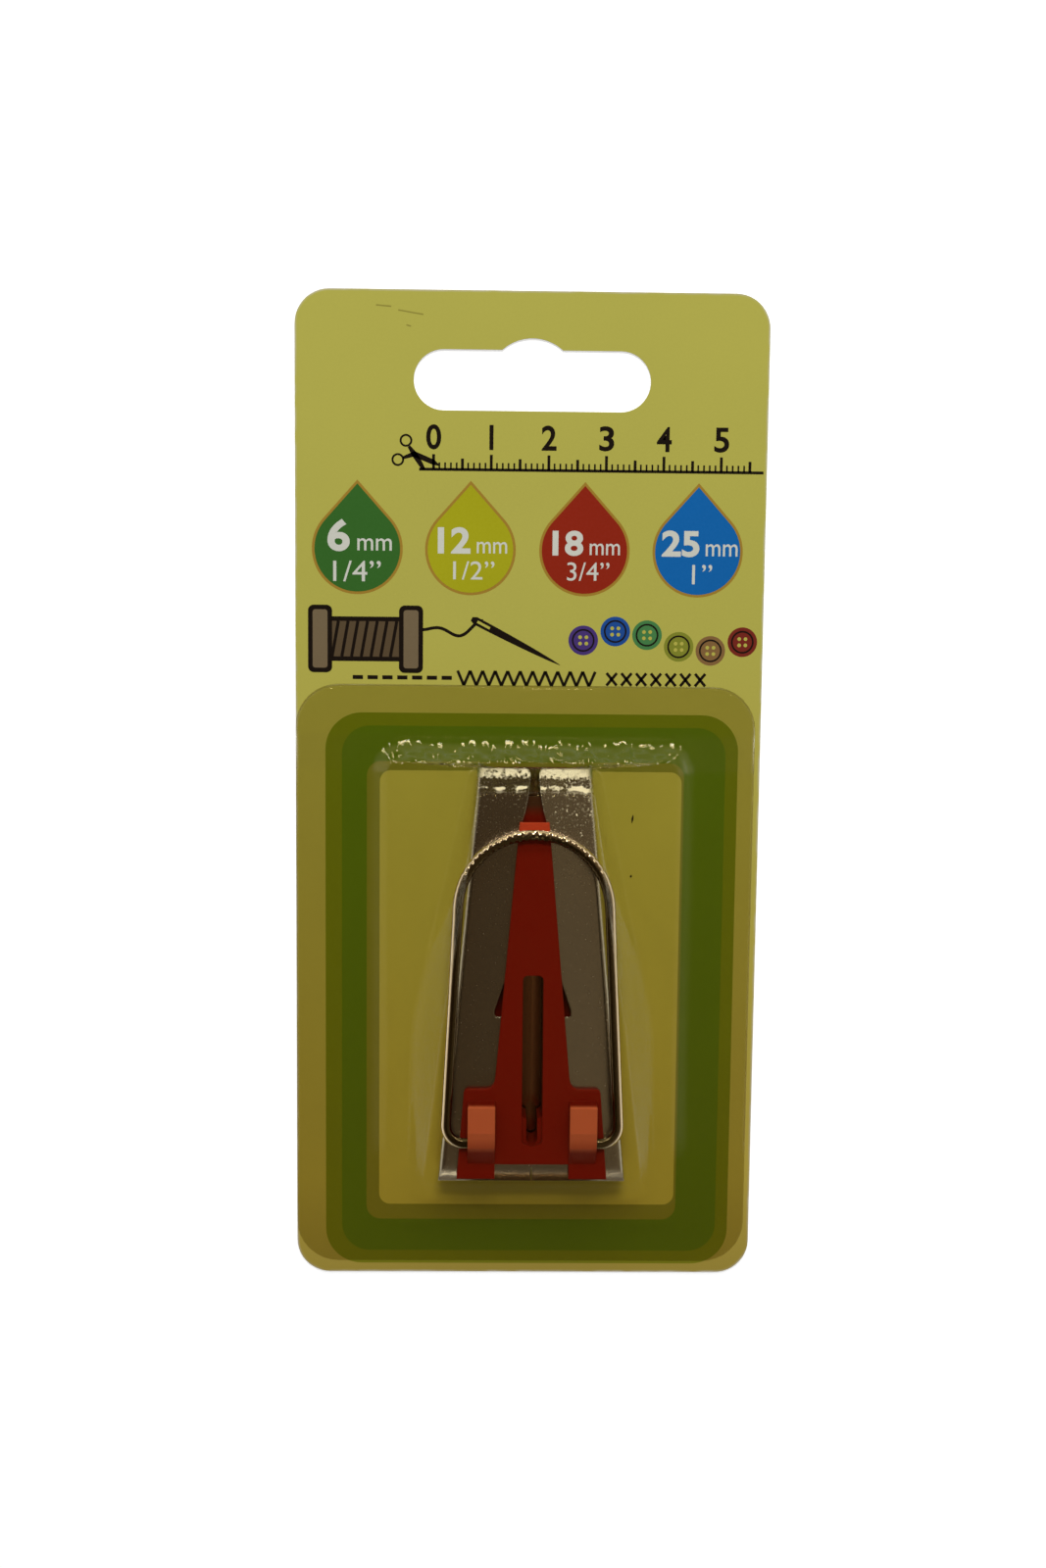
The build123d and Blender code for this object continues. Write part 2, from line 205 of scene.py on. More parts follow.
def card_material():
    """Printed face by height with painted shade at its foot and a pale rim, part wear and part painted
    highlight, over plain board.
    """
    material, tree, shader, place = finish("printed_board", VARNISH_ROUGHNESS)
    axes = axes_of(tree, place)
    is_printed = calc(tree, "GREATER_THAN", axes["Z"], CARD_TOP - INK_DEPTH)
    # The pale rim is partly wear and partly a painted highlight where the card's edge catches light.
    at_rim = spread(tree, rim_distance(tree, place), 0.0, CARD_RIM, 1.0, 0.0)
    patches = spread(tree, noise(tree, place, WORN_AND_LIT_WAVES, 3.0), 0.34, 0.62, 0.1, 0.8)
    worn_and_lit_rim = calc(tree, "MULTIPLY", at_rim, patches)
    ink, grain = mottled(tree, shade(*CARD_YELLOW), 40.0, PRINT_GRAIN, 0.035)
    board, _ = mottled(tree, shade(*CARD_BOARD), 150.0, 900.0, 0.12)
    # Painted shade: the yellow print darkens further at the card's foot.
    foot = spread(tree, axes["Y"], *FOOT_SHADE_RANGE, 1.0, FOOT_SHADE)
    face = blend_colour(tree, worn_and_lit_rim, vector(tree, "SCALE", warmed(tree, ink), scale=foot), board)
    tree.links.new(blend_colour(tree, is_printed, board, face), shader.inputs["Base Color"])
    roughness = spread(tree, is_printed, 0.0, 1.0, BOARD_ROUGHNESS, VARNISH_ROUGHNESS)
    tree.links.new(roughness, shader.inputs["Roughness"])
    bump = add(tree, "ShaderNodeBump", {"Strength": 0.06, "Distance": 0.05 * MM, "Height": grain})
    tree.links.new(bump.outputs[0], shader.inputs["Normal"])
    return material


def dress(name, material, crease=None):
    """Gives a CAD node its material and, with a crease angle in degrees, smooth faces between edges."""
    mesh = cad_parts[name].data
    mesh.materials.clear()
    mesh.materials.append(material)
    if crease is not None:
        mesh.shade_smooth()
        mesh.set_sharp_from_angle(angle=math.radians(crease))


dress("backing_card", card_material())

# Print on the card: flat ink on the yellow, in layers a hundredth of a millimetre apart.
# A green frame lies under the blister, and four size drops, a cutting line and sewing motifs above it.
# All its places and widths are in millimetres from the card's middle.
INK_GAP = 0.01 * MM
INK_ROUGHNESS = 0.4
OLIVE = (114, 126, 4)
DARK_GREEN = (91, 118, 2)
WINDOW_YELLOW = (182, 176, 74)
HALO = (126, 128, 34)
BLACK = (20, 12, 6)
GOLD = (152, 118, 38)
SCUFF = (140, 132, 54)
PALE = (196, 196, 184)
ARC_STEPS = 12
DROP_STEPS = 60


def circle(x, y, radius, start=0, end=360, steps=48):
    """Points on a circle: the centre plus the radius times the cosine and sine of each angle."""
    angles = np.radians(np.linspace(start, end, steps, endpoint=(end - start) < 360))
    return np.column_stack([x + radius * np.cos(angles), y + radius * np.sin(angles)])


def rounded_box(left, right, bottom, top, radius):
    """Box outline whose corners are quarter circles, anticlockwise from the bottom right."""
    corners = [(right - radius, bottom + radius, -90), (right - radius, top - radius, 0)]
    corners += [(left + radius, top - radius, 90), (left + radius, bottom + radius, 180)]
    return np.vstack([circle(x, y, radius, turn, turn + 90, ARC_STEPS) for x, y, turn in corners])


def drop(x, y, radius, tip):
    """Drop outline: a circle, and the two straight tangents to it from a tip above its centre."""
    reach = math.degrees(math.acos(radius / tip))
    around = circle(x, y, radius, 90 + reach, 450 - reach, DROP_STEPS)
    return np.vstack([around, [(x, y + tip)]])


def filled(outline, ink, layer=1):
    """Part of a print: one face inside an outline."""
    return outline, [list(range(len(outline)))], ink, layer


def ring(outer, inner, ink, layer=1):
    """Part of a print: the strip between two outlines with as many points each."""
    count = len(outer)
    step = np.arange(count)
    following = (step + 1) % count
    faces = np.column_stack([step, following, following + count, step + count])
    return np.vstack([outer, inner]), faces.tolist(), ink, layer


def stroke(path, widths, ink, layer=1):
    """Part of a print: a band along a path, each point pushed half its width to both sides of the line."""
    path = np.array(path, float)
    run = np.gradient(path, axis=0)
    run /= np.linalg.norm(run, axis=1, keepdims=True)
    side = np.column_stack([-run[:, 1], run[:, 0]]) * np.broadcast_to(widths, len(path))[:, None] / 2
    return filled(np.vstack([path - side, (path + side)[::-1]]), ink, layer)


def lettering(text, x, y, width, height, weight, ink, layer=3):
    """Part of a print: letters that fill a box with its lower left corner at x and y."""
    curve = bpy.data.curves.new("letters", "FONT")
    curve.body = text
    curve.size = 1.0
    curve.offset = weight
    curve.resolution_u = 6
    holder = bpy.data.objects.new("letters", curve)
    bpy.context.scene.collection.objects.link(holder)
    bpy.context.view_layer.update()
    mesh = bpy.data.meshes.new_from_object(holder.evaluated_get(bpy.context.evaluated_depsgraph_get()))
    points = np.zeros(3 * len(mesh.vertices))
    mesh.vertices.foreach_get("co", points)
    faces = [list(face.vertices) for face in mesh.polygons]
    bpy.data.objects.remove(holder)
    bpy.data.curves.remove(curve)
    bpy.data.meshes.remove(mesh)
    points = points.reshape(-1, 3)[:, :2]
    low, high = points.min(axis=0), points.max(axis=0)
    return (points - low) / (high - low) * (width, height) + (x, y), faces, ink, layer


def ink_material():
    """Ink whose colour is the print's own attribute, with the card's soft mottle and its painted shade."""
    material, tree, shader, _ = finish("printed_ink", INK_ROUGHNESS)
    shader.inputs["Specular IOR Level"].default_value = 0.3
    ink = add(tree, "ShaderNodeAttribute", attribute_name="ink").outputs["Color"]
    colour, grain = mottled(tree, ink, 60.0, PRINT_GRAIN, 0.05)
    # Painted shade on the ink, darker and warmer towards the card's foot.
    tree.links.new(warmed(tree, colour), shader.inputs["Base Color"])
    roughness = spread(tree, grain, 0.3, 0.7, INK_ROUGHNESS - 0.06, INK_ROUGHNESS + 0.06)
    tree.links.new(roughness, shader.inputs["Roughness"])
    return material


INK = ink_material()


def printed(name, parts):
    """One piece of print from its parts, each moved up to its own layer and given its own ink."""
    points, faces, inks = [], [], []
    count = 0
    for outline, part_faces, ink, layer in parts:
        lift = np.full((len(outline), 1), CARD_TOP + layer * INK_GAP)
        points.append(np.hstack([np.array(outline) * MM, lift]))
        faces += [[count + index for index in face] for face in part_faces]
        inks.append(np.tile(shade(*ink), (len(outline), 1)))
        count += len(outline)
    mesh = bpy.data.meshes.new(name)
    mesh.from_pydata(np.vstack(points), [], faces)
    colours = mesh.color_attributes.new("ink", "FLOAT_COLOR", "POINT")
    colours.data.foreach_set("color", np.vstack(inks).ravel())
    mesh.materials.append(INK)
    piece = bpy.data.objects.new(name, mesh)
    bpy.context.scene.collection.objects.link(piece)
    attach(piece, "card")


frame_outer = rounded_box(-35.8, 37.1, -85.9, 14.6, 6.5)
frame_middle = rounded_box(-32.9, 34.9, -83.5, 12.3, 5.0)
frame_halo = rounded_box(-28.5, 27.6, -77.6, 6.0, 2.6)
frame_window = rounded_box(-26.2, 27.2, -74.8, 4.4, 2.0)
bed = [
    ring(frame_outer, frame_middle, OLIVE),
    ring(frame_middle, frame_halo, DARK_GREEN),
    ring(frame_halo, frame_window, HALO),
    filled(frame_window, WINDOW_YELLOW),
]
fleck_half = 0.1
for x, y, length in ((18.6, -4.0, 1.5), (18.5, -14.3, 0.5)):
    path = [(x - fleck_half, y - length / 2), (x, y), (x + fleck_half, y + length / 2)]
    bed.append(stroke(path, (0.1, 0.4, 0.1), BLACK, 2))
scuff_width = 0.22
bed.append(stroke([(-27.0, 84.8), (-24.4, 84.6)], scuff_width, SCUFF, 2))
bed.append(stroke([(-23.2, 84.0), (-18.9, 83.3)], scuff_width, SCUFF, 2))
bed.append(stroke([(-21.8, 81.5), (-21.0, 81.3)], scuff_width, SCUFF, 2))
printed("print_frame", bed)

DROP_Y = 43.2
DROP_RADIUS = 7.9
DROP_TIP = 11.9
DROP_EDGE = 0.45
INNER_DROP_TIP = DROP_TIP - DROP_EDGE * DROP_TIP / DROP_RADIUS
drops = []
for x, ink in ((-30.2, (48, 97, 33)), (-10.5, (158, 155, 11)), (9.4, (136, 30, 5)), (29.2, (0, 92, 160))):
    drops.append(filled(drop(x, DROP_Y, DROP_RADIUS, DROP_TIP), GOLD))
    drops.append(filled(drop(x, DROP_Y, DROP_RADIUS - DROP_EDGE, INNER_DROP_TIP), ink, 2))
printed("print_drops", drops)

# Each line of the drops: its text, left, bottom, width, height and how far its letters are thickened.
size_lines = (
    ("6", -35.4, 42.7, 3.9, 5.6, 0.03),
    ("mm", -30.2, 42.9, 6.0, 2.1, 0.004),
    ("1/4”", -34.4, 37.5, 8.3, 3.6, 0.0),
    ("12", -16.2, 42.5, 5.7, 4.6, 0.03),
    ("mm", -9.4, 42.6, 5.3, 2.0, 0.004),
    ("1/2”", -13.5, 38.0, 7.2, 3.2, 0.0),
    ("18", 3.8, 42.3, 5.4, 4.4, 0.03),
    ("mm", 10.3, 42.5, 5.3, 2.0, 0.004),
    ("3/4”", 6.4, 38.0, 7.4, 3.2, 0.0),
    ("25", 22.9, 42.3, 6.6, 4.6, 0.03),
    ("mm", 30.6, 42.5, 5.6, 2.1, 0.004),
    ("1”", 28.3, 37.6, 3.5, 3.4, 0.0),
)
printed("print_sizes", [lettering(*line, PALE) for line in size_lines])

RULE_Y = 57.0
RULE_START = -19.5
RULE_END = 40.4
RULE_ZERO = -17.0
RULE_LENGTH = 55
THICK_MARK = 0.5
THIN_MARK = 0.3
DIGIT_HEIGHT = 4.3
DIGIT_WIDTH = 2.6
ONE_WIDTH = 0.7
scale_marks = [stroke([(RULE_START, RULE_Y), (RULE_END, RULE_Y)], THICK_MARK, BLACK)]
for step in range(RULE_LENGTH + 1):
    x = RULE_ZERO + step
    tall = 2.6 if step % 10 == 0 else 1.9 if step % 5 == 0 else 1.2
    thick = THIN_MARK if step % 5 else THICK_MARK
    scale_marks.append(stroke([(x, RULE_Y), (x, RULE_Y + tall)], thick, BLACK))
for digit in range(RULE_LENGTH // 10 + 1):
    wide = ONE_WIDTH if digit == 1 else DIGIT_WIDTH
    left = RULE_ZERO + 10 * digit - wide / 2
    scale_marks.append(lettering(str(digit), left, RULE_Y + 3.4, wide, DIGIT_HEIGHT, 0.02, BLACK, layer=1))
for x, y in ((-23.2, 58.6), (-21.8, 61.9)):
    scale_marks.append(ring(circle(x, y, 1.1), circle(x, y, 0.75), BLACK))
lower_blade = [(-22.3, 58.9), (-20.4, 59.6), (-17.0, 58.2), (-15.9, 57.6)]
scale_marks.append(stroke(lower_blade, (0.5, 1.0, 0.9, 0.1), BLACK))
upper_blade = [(-21.3, 60.9), (-20.3, 59.5), (-19.2, 57.8), (-18.6, 56.9)]
scale_marks.append(stroke(upper_blade, (0.5, 1.0, 0.8, 0.5), BLACK))
printed("print_scale", scale_marks)

STITCH_Y = 20.8
STITCH_LENGTH = 1.8
STITCH_PITCH = 2.6
ZIGZAG_HALF = 1.3
ZIGZAG_PITCH = 1.1
CROSS_HALF = 1.1
stitches = []
for x in np.arange(-31.0, -14.0, STITCH_PITCH):
    stitches.append(stroke([(x, STITCH_Y), (x + STITCH_LENGTH, STITCH_Y)], 0.7, BLACK))
zigzag_x = np.arange(-12.6, 12.0, ZIGZAG_PITCH)
zigzag_y = STITCH_Y + ZIGZAG_HALF * (-1.0) ** np.arange(len(zigzag_x))
zigzag = np.column_stack([zigzag_x, zigzag_y])
for start, end in zip(zigzag[:-1], zigzag[1:]):
    stitches.append(stroke([start, end], 0.5, BLACK))
for x in np.arange(13.6, 31.0, STITCH_PITCH):
    for side in (-CROSS_HALF, CROSS_HALF):
        path = [(x, STITCH_Y + side), (x + STITCH_LENGTH, STITCH_Y - side)]
        stitches.append(stroke(path, 0.5, BLACK))
printed("print_stitches", stitches)

TAN = (110, 94, 68)
THREAD = (84, 68, 46)
LINE = 0.55
motif = [
    filled(rounded_box(-35.6, -22.4, 23.6, 31.4, 0.4), BLACK),
    filled(rounded_box(-35.6, -22.4, 24.4, 30.6, 0.2), THREAD, 2),
]
for x in np.arange(-34.6, -23.6, 1.7):
    motif.append(stroke([(x, 24.4), (x + 1.1, 30.6)], LINE, BLACK, 3))
for x in (-38.8, -22.9):
    motif.append(filled(rounded_box(x, x + 4.2, 21.6, 33.4, 1.0), BLACK, 4))
    motif.append(filled(rounded_box(x + 0.8, x + 3.4, 22.4, 32.6, 0.5), TAN, 5))
thread_x = np.linspace(-19.0, -8.2, 40)
loose = thread_x - thread_x[0]
thread = np.column_stack([thread_x, 29.2 + 1.9 * np.sin(loose * 0.75) * loose / 12])
motif.append(stroke(thread, LINE, BLACK))
along = np.linspace(0, 1, 24)
needle = np.column_stack([-10.2 + 15.6 * along, 31.2 - 8.0 * along])
girth = 1.35 * (1 - along**2) ** 0.8 + 0.05
girth[0] = 0.7
motif.append(stroke(needle, girth, BLACK, 2))
motif.append(stroke([(-9.2, 30.7), (-7.0, 29.55)], 0.45, CARD_YELLOW, 3))

BUTTON_INKS = ((66, 46, 110), (22, 70, 140), (64, 120, 66), (122, 126, 36), (124, 92, 52), (112, 34, 22))
BUTTON_PITCH = 5.6
BUTTON_RADIUS = 2.6
HOLE_PLACE = 0.55
HOLE_RADIUS = 0.33
for step, ink in enumerate(BUTTON_INKS):
    x, y = 9.4 + BUTTON_PITCH * step, 27.6 + 1.7 * math.sin(1.25 * step)
    motif.append(filled(circle(x, y, BUTTON_RADIUS), ink))
    motif.append(ring(circle(x, y, BUTTON_RADIUS - 0.6), circle(x, y, BUTTON_RADIUS - 0.9), BLACK, 2))
    for across, up in ((-1, -1), (1, -1), (1, 1), (-1, 1)):
        hole = circle(x + across * HOLE_PLACE, y + up * HOLE_PLACE, HOLE_RADIUS, steps=16)
        motif.append(filled(hole, CARD_YELLOW, 3))
printed("print_motif", motif)

# Steel body: nickel-plated sheet, folded round a former; the plating is bright but finely grained.
# It reflects as a soft mirror, with painted glints in its grain that grow towards the tip.
# A broken line of painted glints runs along the fold at the tip, and the mouth has painted shade between
# the lugs. Inside it is painted with the red guide's glow, dimmer and browner towards the tip.
BODY_LOW, BODY_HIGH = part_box("steel_body")
BODY_MIDDLE = (BODY_LOW[0] + BODY_HIGH[0]) / 2
STEEL_TIP = BODY_HIGH[1]
STEEL_MOUTH = BODY_LOW[1]
FLAP_TILT = -0.08
EDGE_ROUND = 0.35 * MM
CREASE = 35
NICKEL = (204, 196, 194)
# Painted colours: glints, the guide's red glow inside and its browner fade, and shade between the lugs.
GLINT_NICKEL = (250, 244, 236)
INSIDE_GLOW_STEEL = (205, 150, 118)
INSIDE_TIP_GLOW_STEEL = (146, 104, 84)
SHADED_MOUTH_STEEL = (108, 84, 60)
INNER_FLOOR = (BODY_LOW[2] + 0.8 * MM, BODY_LOW[2] + 1.6 * MM)
RIGHT_FLAP = (BODY_MIDDLE - 2 * MM, BODY_MIDDLE + 6 * MM)
GLINT_TIP_RANGE = (STEEL_TIP - 26 * MM, STEEL_TIP - 4 * MM)
BENT_TIP = (STEEL_TIP - 2.0 * MM, STEEL_TIP - 1.2 * MM)
INSIDE_GLOW_FADE = (STEEL_TIP - 9 * MM, STEEL_TIP - 6 * MM)
TILTED_FLAPS = (STEEL_MOUTH + 4 * MM, STEEL_MOUTH + 14 * MM)
SHADED_MOUTH_RANGE = (STEEL_MOUTH + 3.2 * MM, STEEL_MOUTH + 1.2 * MM)
BETWEEN_LUGS = (12 * MM, 10 * MM)
FOLD_Y = STEEL_TIP - 2.75 * MM
FOLD_WANDER = 1.4 * MM
FOLD_HALF = (0.1 * MM, 0.5 * MM)
SPECK_WAVES = 2300.0
SPECK_LIMIT = 0.68
SPECK_CONTRAST = 6.0
SPECK_LEAN = 0.6
MORE_AT_TIP = 0.16
MORE_AT_BEND = 0.25
MORE_AT_FOLD = 0.42


def soft_edges(tree, radius):
    """Normal that rounds a piece's sharp edges by a radius."""
    return add(tree, "ShaderNodeBevel", {"Radius": radius}, samples=4).outputs[0]


def leaned(tree, normal, direction, amount):
    """Normal leaned along a direction in object space, by an amount that is the tangent of the angle."""
    turned = {"vector_type": "VECTOR", "convert_from": "OBJECT", "convert_to": "WORLD"}
    world = add(tree, "ShaderNodeVectorTransform", {0: direction}, **turned).outputs[0]
    push = vector(tree, "SCALE", world, scale=amount)
    return vector(tree, "NORMALIZE", vector(tree, "ADD", normal, push))


def steel_specks(tree, place, axes):
    """Share of painted glints: grain over a limit that falls at the tip, at its bend and along its fold."""
    right = spread(tree, axes["X"], *RIGHT_FLAP, 0.5, 1.0)
    near_tip = calc(tree, "MULTIPLY", rise(tree, axes["Y"], *GLINT_TIP_RANGE), right)
    bend = calc(tree, "MULTIPLY", rise(tree, axes["Y"], *BENT_TIP), MORE_AT_BEND)
    from_fold = calc(tree, "SUBTRACT", axes["Y"], FOLD_Y)
    from_fold = calc(tree, "MULTIPLY_ADD", noise(tree, place, 330.0, 1.0), FOLD_WANDER, from_fold)
    fold = spread(tree, calc(tree, "ABSOLUTE", from_fold), *FOLD_HALF, MORE_AT_FOLD, 0.0)
    broken = spread(tree, noise(tree, place, 420.0, 0.0), 0.36, 0.54, 0.15, 1.0)
    reach = calc(tree, "MULTIPLY_ADD", near_tip, MORE_AT_TIP, calc(tree, "MULTIPLY", fold, broken))
    limit = calc(tree, "SUBTRACT", calc(tree, "SUBTRACT", SPECK_LIMIT, reach), bend)
    grain = noise(tree, place, SPECK_WAVES, 2.5, 0.7)
    return calc(tree, "MULTIPLY", calc(tree, "SUBTRACT", grain, limit), SPECK_CONTRAST, clamp=True)


def steel_material():
    """Nickel that mirrors softly, flaps off level; painted glints face the lamps, painted glow inside,
    painted shade at the mouth.
    """
    material, tree, shader, place = finish("nickel_plate", 0.27, 1.0)
    axes = axes_of(tree, place)
    outside = rise(tree, axes["Z"], *INNER_FLOOR)
    from_middle = calc(tree, "ABSOLUTE", calc(tree, "SUBTRACT", axes["X"], BODY_MIDDLE))
    # Painted glints: bright nickel spots, their normals leaned towards the lamps.
    glints = calc(tree, "MULTIPLY", steel_specks(tree, place, axes), outside)
    nickel, _ = mottled(tree, shade(*NICKEL), 70.0, 900.0, 0.05)
    # Painted light inside: the guide's red glow, dimmer and browner towards the tip.
    glow_fade = rise(tree, axes["Y"], *INSIDE_GLOW_FADE)
    inside = blend_colour(tree, glow_fade, shade(*INSIDE_GLOW_STEEL), shade(*INSIDE_TIP_GLOW_STEEL))
    colour = blend_colour(tree, outside, inside, nickel)
    # Painted shade on the mouth between the lugs.
    shaded_mouth = rise(tree, axes["Y"], *SHADED_MOUTH_RANGE)
    shaded_mouth = calc(tree, "MULTIPLY", shaded_mouth, rise(tree, from_middle, *BETWEEN_LUGS))
    colour = blend_colour(tree, shaded_mouth, colour, shade(*SHADED_MOUTH_STEEL))
    colour = blend_colour(tree, glints, colour, shade(*GLINT_NICKEL))
    tree.links.new(colour, shader.inputs["Base Color"])
    tree.links.new(spread(tree, glints, 0.0, 1.0, 0.25, 0.4), shader.inputs["Roughness"])
    tilt = spread(tree, axes["Y"], *TILTED_FLAPS, 0.0, FLAP_TILT)
    relief = calc(tree, "MULTIPLY", from_middle, tilt)
    inputs = {"Strength": 1.0, "Distance": 1.0, "Height": relief, "Normal": soft_edges(tree, EDGE_ROUND)}
    level = add(tree, "ShaderNodeBump", inputs).outputs[0]
    normal = leaned(tree, level, (0.0, 1.0, 0.0), calc(tree, "MULTIPLY", glints, SPECK_LEAN))
    tree.links.new(normal, shader.inputs["Normal"])
    return material


dress("steel_body", steel_material(), CREASE)

# Guide: one red injection moulding, glossy on its flats and slightly pale on its edges,
# with painted light on its bar end and lug tops and painted shade on its nose.
# Its bar and plate lie on the steel, and its lugs hold the wire.
GUIDE_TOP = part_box("plastic_guide")[1][2]
BAR_TOP = (4.8 * MM, 5.2 * MM)
BAR_END = (STEEL_TIP - 10.9 * MM, STEEL_TIP - 10.6 * MM)
NOSE = (STEEL_TIP - 8.6 * MM, STEEL_TIP - 6.4 * MM)
LUG_TOPS = (GUIDE_TOP - 1.6 * MM, GUIDE_TOP - 0.3 * MM)
MOULDED_ROUND = 0.25 * MM
MOULDED_RED = (121, 20, 7)
# Painted colours: light on the bar end and lug tops, shade on the nose.
LIT_BAR_END_RED = (200, 70, 44)
SHADED_NOSE_RED = (76, 46, 30)
LIT_LUG_TOP_RED = (204, 98, 66)


def guide_material():
    """Red moulded plastic with flow patches and grain, painted light on its lug tops and bar end, painted
    shade on its nose.
    """
    material, tree, shader, place = finish("red_moulding", 0.35)
    shader.inputs["Specular IOR Level"].default_value = 0.08
    axes = axes_of(tree, place)
    colour, grain = mottled(tree, shade(*MOULDED_RED), 120.0, 1800.0, 0.05)
    # Painted light on the bar end, which faces the lamps.
    lit_bar_end = calc(tree, "MULTIPLY", rise(tree, axes["Y"], *BAR_END), rise(tree, axes["Z"], *BAR_TOP))
    colour = blend_colour(tree, lit_bar_end, colour, shade(*LIT_BAR_END_RED))
    # Painted shade on the nose.
    colour = blend_colour(tree, rise(tree, axes["Y"], *NOSE), colour, shade(*SHADED_NOSE_RED))
    # Painted light on the lug tops.
    colour = blend_colour(tree, rise(tree, axes["Z"], *LUG_TOPS), colour, shade(*LIT_LUG_TOP_RED))
    tree.links.new(colour, shader.inputs["Base Color"])
    rounded = soft_edges(tree, MOULDED_ROUND)
    inputs = {"Strength": 0.12, "Distance": 0.02 * MM, "Height": grain, "Normal": rounded}
    tree.links.new(add(tree, "ShaderNodeBump", inputs).outputs[0], shader.inputs["Normal"])
    return material


dress("plastic_guide", guide_material(), CREASE)

# Wire bail: 1.9 mm steel wire, bent to a bow and chromed bright; its ends sit in the lugs.
# Bending has left a row of small dents round the bow.
BAIL_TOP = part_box("wire_bail")[1][1]
BOW_RADIUS = 16 * MM
BOW_RANGE = (BAIL_TOP - 16 * MM, BAIL_TOP - 8 * MM)
CHROME = (252, 232, 222)
# Painted shade on the wire's inner side.
SHADED_INNER_CHROME = (112, 99, 80)
DENTS_PER_TURN = 80.0
DENT_LEAN = 0.25
UNEVEN_LEAN = 0.6
MEAN_LEAN = -0.27
LEG_LEAN = 0.25


def wire_material():
    """Bright chrome with painted shade on its inner side, dented round its bow; its legs mirror what is
    beside them.
    """
    material, tree, shader, place = finish("chromed_wire", 0.12, 1.0)
    chrome, grain = mottled(tree, shade(*CHROME), 200.0, 2600.0, 0.04)
    tree.links.new(spread(tree, grain, 0.3, 0.7, 0.06, 0.14), shader.inputs["Roughness"])
    axes = axes_of(tree, place)
    bow = rise(tree, axes["Y"], *BOW_RANGE)
    across = calc(tree, "SUBTRACT", axes["X"], BODY_MIDDLE)
    along = calc(tree, "SUBTRACT", axes["Y"], BAIL_TOP - BOW_RADIUS)
    beyond = calc(tree, "MAXIMUM", along, 0.0)
    outward = add(tree, "ShaderNodeCombineXYZ", {0: across, 1: beyond}).outputs[0]
    outward = vector(tree, "NORMALIZE", outward)
    facing = add(tree, "ShaderNodeTexCoord").outputs["Normal"]
    facing = vector(tree, "DOT_PRODUCT", facing, outward, output="Value")
    # Painted shade where the wire faces inwards.
    colour = blend_colour(tree, rise(tree, facing, 0.5, 0.05), chrome, shade(*SHADED_INNER_CHROME))
    tree.links.new(colour, shader.inputs["Base Color"])
    turn = calc(tree, "MULTIPLY", calc(tree, "ARCTAN2", along, across), DENTS_PER_TURN)
    uneven = calc(tree, "MULTIPLY_ADD", noise(tree, place, 700.0, 0.0), UNEVEN_LEAN, MEAN_LEAN)
    dents = calc(tree, "MULTIPLY_ADD", calc(tree, "SINE", turn), DENT_LEAN, uneven)
    smooth = add(tree, "ShaderNodeNewGeometry").outputs["Normal"]
    dented = leaned(tree, smooth, (0.0, 1.0, 0.0), calc(tree, "MULTIPLY", dents, bow))
    legs = spread(tree, across, -MM, MM, -LEG_LEAN, LEG_LEAN)
    legs = calc(tree, "MULTIPLY", legs, calc(tree, "SUBTRACT", 1.0, bow))
    tree.links.new(leaned(tree, dented, (1.0, 0.0, 0.0), legs), shader.inputs["Normal"])
    return material


dress("wire_bail", wire_material(), CREASE)

# Blister: 0.3 mm clear sheet, drawn by vacuum over a mould and sealed to the card by its flange.
# A low step surrounds the dome over the tool, and its folds are soft, with small ripples at the tip end.
# Its lengths are in millimetres.
SHEET = 0.28
DRAWN_SHEET = 0.15
RIM_SHEET = 0.03
RIM_BEVEL = 1.0
SHEET_FOOT = 0.86
BLISTER_LOW, BLISTER_HIGH = [np.array(corner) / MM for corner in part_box("clear_blister")]
TIP_Y = STEEL_TIP / MM
MOUTH_Y = STEEL_MOUTH / MM
BODY_X = BODY_MIDDLE / MM
BEND_Y = -38.0
STEP_X = BODY_X - 0.3
STEP_Z = 4.6
DOME_BEND_Y = TIP_Y - 45
DOME_Z = BLISTER_HIGH[2] - 0.16
SIDE_STEPS = (34, 34, 44, 34, 34, 120)
CORNER_STEPS = 9
FOLD_STEPS = 8
FLANGE_ROWS = 10
SHEET_TINT = (0.78, 0.755, 0.62, 1.0)
CLEARNESS = 0.74
MOUTH_CLEARNESS = 0.99
RIPPLED_CLEARNESS = 0.3


def rounded_loop(corners, setbacks):
    """Closed loop of sides and arcs: each corner is a circle arc, a weighted quadratic from its setback."""
    corners = np.array(corners, float)
    before, after = np.roll(corners, 1, axis=0), np.roll(corners, -1, axis=0)
    back = (before - corners) / np.linalg.norm(before - corners, axis=1, keepdims=True)
    ahead = (after - corners) / np.linalg.norm(after - corners, axis=1, keepdims=True)
    half_angle = np.arccos(np.clip((back * ahead).sum(axis=1), -1, 1)) / 2
    reach = np.array(setbacks)[:, None]
    first, last = corners + back * reach, corners + ahead * reach
    share = np.linspace(0, 1, CORNER_STEPS)[None, :, None]
    weight = np.sin(half_angle)[:, None, None]
    pull = 2 * weight * share * (1 - share)
    arcs = (1 - share) ** 2 * first[:, None] + pull * corners[:, None] + share**2 * last[:, None]
    arcs = arcs / ((1 - share) ** 2 + pull + share**2)
    points = []
    for arc, start, end, steps in zip(arcs, last, np.roll(first, -1, axis=0), SIDE_STEPS):
        share = np.linspace(0, 1, steps + 1)[1:-1, None]
        points += [arc, start * (1 - share) + end * share]
    return np.concatenate(points)


